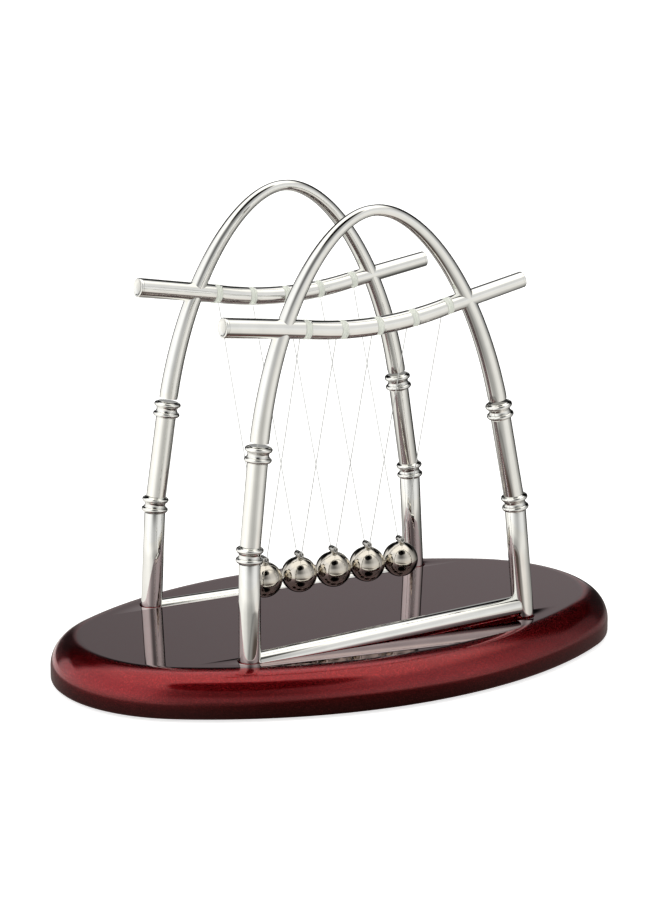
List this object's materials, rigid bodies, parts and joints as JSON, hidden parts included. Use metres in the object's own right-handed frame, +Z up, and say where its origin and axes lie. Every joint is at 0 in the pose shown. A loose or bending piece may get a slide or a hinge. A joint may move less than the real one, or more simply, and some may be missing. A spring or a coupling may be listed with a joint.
{
  "type": "newtons cradle",
  "caption": "Pendulum toy: a row of steel balls on V threads hung from crossbars between bent rod arches that stand on an oval lacquered board.",
  "frame": {"origin": "middle of the felt underside, where the board rests", "axes": "+X along the row of balls, +Y from the front arch to the back arch, +Z up"},
  "size_m": [0.2356, 0.1466, 0.1859],
  "materials": {
    "board_lacquer": "deep red metallic lacquer, high gloss",
    "felt": "matte felt",
    "screw_steel": "satin",
    "frame_chrome": "polished",
    "ball_steel": "polished",
    "sleeve_steel": "polished",
    "nylon": "clear drawn thread"
  },
  "bodies": {
    "stand": {"base_board": "board_lacquer", "felt_sheet": "felt", "frame_screws": "screw_steel", "front_stretcher": "frame_chrome", "back_stretcher": "frame_chrome", "front_left_lower_leg": "frame_chrome", "front_right_lower_leg": "frame_chrome", "back_left_lower_leg": "frame_chrome", "back_right_lower_leg": "frame_chrome", "front_left_middle_leg": "frame_chrome", "front_right_middle_leg": "frame_chrome", "back_left_middle_leg": "frame_chrome", "back_right_middle_leg": "frame_chrome", "front_left_upper_leg": "frame_chrome", "front_right_upper_leg": "frame_chrome", "back_left_upper_leg": "frame_chrome", "back_right_upper_leg": "frame_chrome", "front_left_lower_collar": "frame_chrome", "front_right_lower_collar": "frame_chrome", "back_left_lower_collar": "frame_chrome", "back_right_lower_collar": "frame_chrome", "front_left_upper_collar": "frame_chrome", "front_right_upper_collar": "frame_chrome", "back_left_upper_collar": "frame_chrome", "back_right_upper_collar": "frame_chrome", "front_bow": "frame_chrome", "back_bow": "frame_chrome", "front_crossbar": "frame_chrome", "back_crossbar": "frame_chrome", "front_left_cap": "frame_chrome", "front_right_cap": "frame_chrome", "back_left_cap": "frame_chrome", "back_right_cap": "frame_chrome", "front_knots": "nylon", "back_knots": "nylon"},
    "pendulum_1": {"ball_1": "ball_steel", "ball_1_sleeve": "sleeve_steel", "ball_1_thread": "nylon"},
    "pendulum_2": {"ball_2": "ball_steel", "ball_2_sleeve": "sleeve_steel", "ball_2_thread": "nylon"},
    "pendulum_3": {"ball_3": "ball_steel", "ball_3_sleeve": "sleeve_steel", "ball_3_thread": "nylon"},
    "pendulum_4": {"ball_4": "ball_steel", "ball_4_sleeve": "sleeve_steel", "ball_4_thread": "nylon"},
    "pendulum_5": {"ball_5": "ball_steel", "ball_5_sleeve": "sleeve_steel", "ball_5_thread": "nylon"}
  },
  "joints": [
    {"name": "ball_1_swing", "type": "hinge", "parent": "stand", "child": "pendulum_1", "pos_m": [-0.03385, -0.00004, 0.13775], "axis": [0.0755, 0.997, -0.0163], "range_deg": [-0.25, 60]},
    {"name": "ball_2_swing", "type": "hinge", "parent": "stand", "child": "pendulum_2", "pos_m": [-0.0186, -0.00004, 0.13583], "axis": [0.0742, 0.9969, -0.0259], "range_deg": [-0.25, 0.25]},
    {"name": "ball_3_swing", "type": "hinge", "parent": "stand", "child": "pendulum_3", "pos_m": [-0.00339, -0.00004, 0.13548], "axis": [0.0739, 0.9966, -0.0354], "range_deg": [-0.25, 0.25]},
    {"name": "ball_4_swing", "type": "hinge", "parent": "stand", "child": "pendulum_4", "pos_m": [0.01178, -0.00004, 0.13668], "axis": [0.0744, 0.9962, -0.0448], "range_deg": [-0.25, 0.25]},
    {"name": "ball_5_swing", "type": "hinge", "parent": "stand", "child": "pendulum_5", "pos_m": [0.02691, -0.00004, 0.13944], "axis": [-0.076, -0.9956, 0.0542], "range_deg": [-0.25, 60]}
  ]
}
